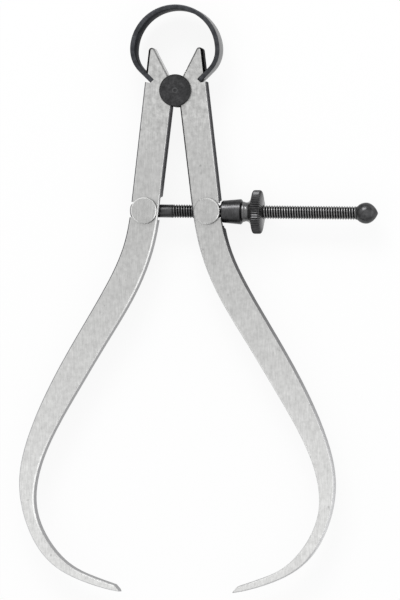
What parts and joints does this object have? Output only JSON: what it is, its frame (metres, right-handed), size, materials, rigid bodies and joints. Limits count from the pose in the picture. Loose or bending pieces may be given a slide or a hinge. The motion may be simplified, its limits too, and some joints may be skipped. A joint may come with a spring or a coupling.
{
  "type": "outside caliper",
  "caption": "Flat-legged outside caliper with a bow spring, a riveted disc joint and an adjusting screw with a knurled nut and a ball stop.",
  "frame": {"origin": "on the fulcrum axis, at the back face of the fulcrum washer", "axes": "+X to the right across the legs, towards the ball stop; +Y from the tips towards the bow; +Z from the back face to the front, so the tool lies flat on its back"},
  "size_m": [0.1104, 0.1791, 0.0133],
  "materials": {
    "ground_steel": "fine ground satin",
    "polished_steel": "satin with a polished bevel",
    "blued_spring_steel": "blued, semi-matt",
    "black_oxide_steel": "black oxide, semi-gloss"
  },
  "bodies": {
    "fulcrum": {"fulcrum_stud": "black_oxide_steel", "fulcrum_washer": "black_oxide_steel"},
    "bow": {"bow_spring": "blued_spring_steel"},
    "left_leg_body": {"left_leg": "ground_steel"},
    "right_leg_body": {"right_leg": "ground_steel"},
    "screw_unit": {"adjusting_screw": "black_oxide_steel", "ball_stop": "black_oxide_steel", "left_stud": "polished_steel", "left_stud_washer": "polished_steel"},
    "right_stud_unit": {"right_stud": "polished_steel", "right_stud_washer": "polished_steel"},
    "sleeve_unit": {"thrust_sleeve": "black_oxide_steel"},
    "nut_unit": {"adjusting_nut": "black_oxide_steel"}
  },
  "joints": [
    {"name": "right_leg_opening", "type": "hinge", "parent": "fulcrum", "child": "right_leg_body", "pos_m": [0, 0, 0.00355], "axis": [0, 0, 1], "range_deg": [-6.35, 21.5], "deforming": ["bow_spring"]},
    {"name": "left_leg_opening", "type": "hinge", "parent": "fulcrum", "child": "left_leg_body", "pos_m": [0, 0, 0.00355], "axis": [0, 0, 1], "range_deg": [-21.5, 6.35]},
    {"name": "screw_swivel", "type": "hinge", "parent": "left_leg_body", "child": "screw_unit", "pos_m": [-0.0096, -0.03655, 0.00315], "axis": [0, 0, 1], "range_deg": [-6.6, 22.3]},
    {"name": "right_stud_swivel", "type": "hinge", "parent": "right_leg_body", "child": "right_stud_unit", "pos_m": [0.00975, -0.03683, 0.00315], "axis": [0, 0, 1], "range_deg": [-20.9, 6.2]},
    {"name": "sleeve_shift", "type": "slide", "parent": "right_stud_unit", "child": "sleeve_unit", "axis": [0.9999, -0.0145, 0], "range_m": [-0.00056, 0.0019]},
    {"name": "nut_turn", "type": "hinge", "parent": "sleeve_unit", "child": "nut_unit", "pos_m": [0.02475, -0.03705, 0.00315], "axis": [0.9999, -0.0145, 0], "range_deg": [-3760, 12720]},
    {"name": "bow_rise", "type": "slide", "parent": "fulcrum", "child": "bow", "axis": [0, 1, 0], "range_m": [-0.0008, 0.0026]}
  ],
  "couplings": [
    {"joint": "left_leg_opening", "follows": "right_leg_opening", "ratio": -1},
    {"joint": "screw_swivel", "follows": "right_leg_opening", "ratio": 1.0318},
    {"joint": "right_stud_swivel", "follows": "right_leg_opening", "ratio": -0.9682},
    {"joint": "sleeve_shift", "follows": "right_leg_opening", "m_per_rad": 0.005},
    {"joint": "nut_turn", "follows": "right_leg_opening", "ratio": 590.5},
    {"joint": "bow_rise", "follows": "right_leg_opening", "m_per_rad": 0.00656}
  ]
}
